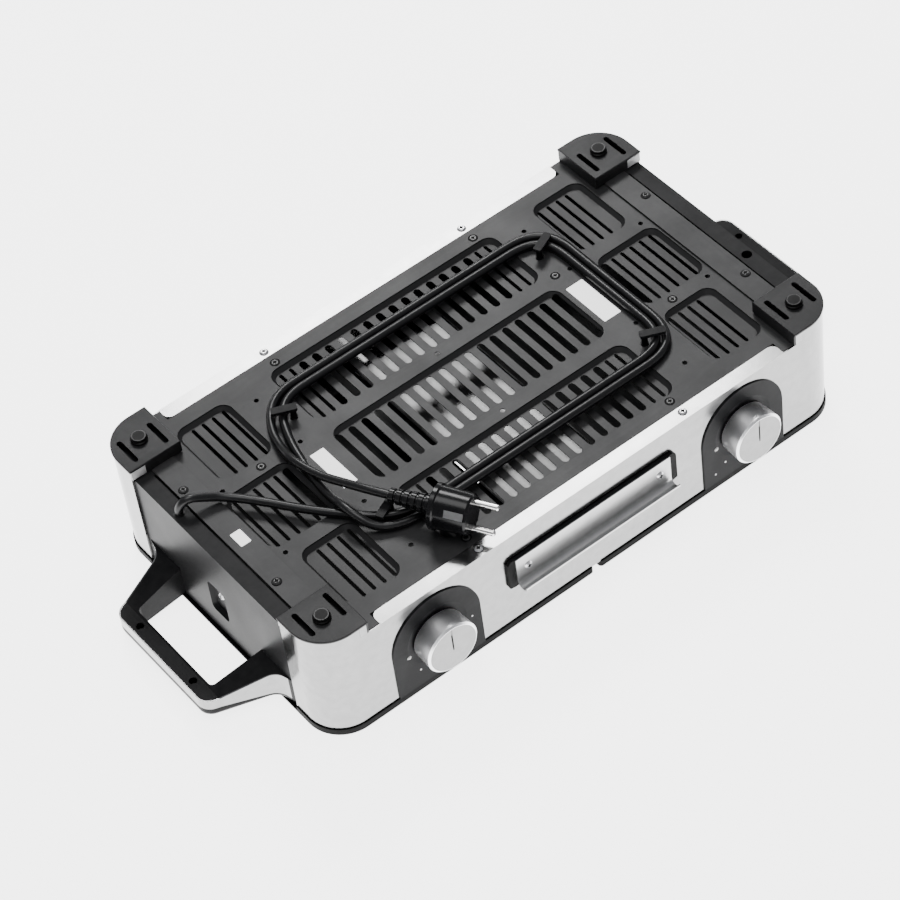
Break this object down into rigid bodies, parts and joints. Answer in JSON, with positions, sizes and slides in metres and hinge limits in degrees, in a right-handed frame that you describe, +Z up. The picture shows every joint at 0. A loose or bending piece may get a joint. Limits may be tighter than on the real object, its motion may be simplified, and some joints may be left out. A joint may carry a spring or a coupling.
{
  "type": "electric table grill",
  "caption": "Low two-zone electric table grill standing turned over, with vented base, side handles, two knobs, juice tray and mains cord round its hooks.",
  "frame": {"origin": "centre of the bounding box (without the cord) on the plane that the grill plates rims rest on, with the grill turned over as pictured", "axes": "+X along the front towards the right handle, -Y out of the front with the knobs, +Z up towards the feet"},
  "size_m": [0.604, 0.3, 0.1321],
  "materials": {
    "steel": "mirror-like satin",
    "grey_sheet": "satin",
    "black_plastic": "satin",
    "foot_rubber": "matte",
    "screw_steel": "satin",
    "screw_black": "satin",
    "handle_black": "satin",
    "plate_black": "gloss",
    "knob_chrome": "polished",
    "knob_face": "satin",
    "inner_steel": "satin",
    "inner_plastic": "matte",
    "lens": "clear",
    "grill_coating": "non-stick coated, satin",
    "light_metal": "satin",
    "cord_black": "satin",
    "plug_black": "satin",
    "pin_metal": "nickel plated"
  },
  "bodies": {
    "grill": {"front_shell": "steel", "rear_shell": "steel", "handle_band_left": "steel", "handle_band_right": "steel", "left_end_panel": "grey_sheet", "right_end_panel": "grey_sheet", "base_sheet": "grey_sheet", "corner_pad_front_left": "black_plastic", "foot_front_left": "foot_rubber", "corner_pad_front_right": "black_plastic", "foot_front_right": "foot_rubber", "corner_pad_rear_left": "black_plastic", "foot_rear_left": "foot_rubber", "corner_pad_rear_right": "black_plastic", "foot_rear_right": "foot_rubber", "shell_screws": "screw_steel", "end_wall_screws": "screw_steel", "base_screws": "screw_black", "end_strip_screws": "screw_black", "handle_screws": "screw_black", "handle_grip_left": "handle_black", "handle_cover_left": "handle_black", "bezel_left": "plate_black", "tray_rail_left": "inner_steel", "heater_left": "inner_steel", "thermostat_left": "inner_plastic", "pilot_lens_left": "lens", "heat_shield_left": "light_metal", "handle_grip_right": "handle_black", "handle_cover_right": "handle_black", "bezel_right": "plate_black", "tray_rail_right": "inner_steel", "heater_right": "inner_steel", "thermostat_right": "inner_plastic", "pilot_lens_right": "lens", "heat_shield_right": "light_metal", "terminal_block": "inner_plastic", "cord_gland": "black_plastic", "cord_hooks": "black_plastic", "cord_lead": "cord_black", "cord_turns": "cord_black", "cord_tail": "cord_black", "plug_body": "plug_black", "plug_pins": "pin_metal", "plug_earth_contacts": "pin_metal"},
    "knob_left_turning": {"knob_left": "knob_chrome", "knob_cap_left": "knob_face", "knob_shaft_left": "inner_steel"},
    "grill_plate_left_lifting": {"grill_plate_left": "grill_coating"},
    "knob_right_turning": {"knob_right": "knob_chrome", "knob_cap_right": "knob_face", "knob_shaft_right": "inner_steel"},
    "grill_plate_right_lifting": {"grill_plate_right": "grill_coating"},
    "juice_tray": {"tray_pan": "light_metal", "tray_front": "black_plastic", "tray_plate": "steel", "tray_screws": "screw_steel"}
  },
  "joints": [
    {"name": "knob_left_turn", "type": "hinge", "parent": "grill", "child": "knob_left_turning", "pos_m": [-0.1464, -0.12955, 0.05], "axis": [0, 1, 0], "range_deg": [0, 270]},
    {"name": "grill_plate_left_lift", "type": "slide", "parent": "grill", "child": "grill_plate_left_lifting", "axis": [0, 0, -1], "range_m": [0, 0.03]},
    {"name": "knob_right_turn", "type": "hinge", "parent": "grill", "child": "knob_right_turning", "pos_m": [0.1464, -0.12955, 0.05], "axis": [0, 1, 0], "range_deg": [0, 270]},
    {"name": "grill_plate_right_lift", "type": "slide", "parent": "grill", "child": "grill_plate_right_lifting", "axis": [0, 0, -1], "range_m": [0, 0.03]},
    {"name": "juice_tray_slide", "type": "slide", "parent": "grill", "child": "juice_tray", "axis": [0, -1, 0], "range_m": [0, 0.2]}
  ]
}
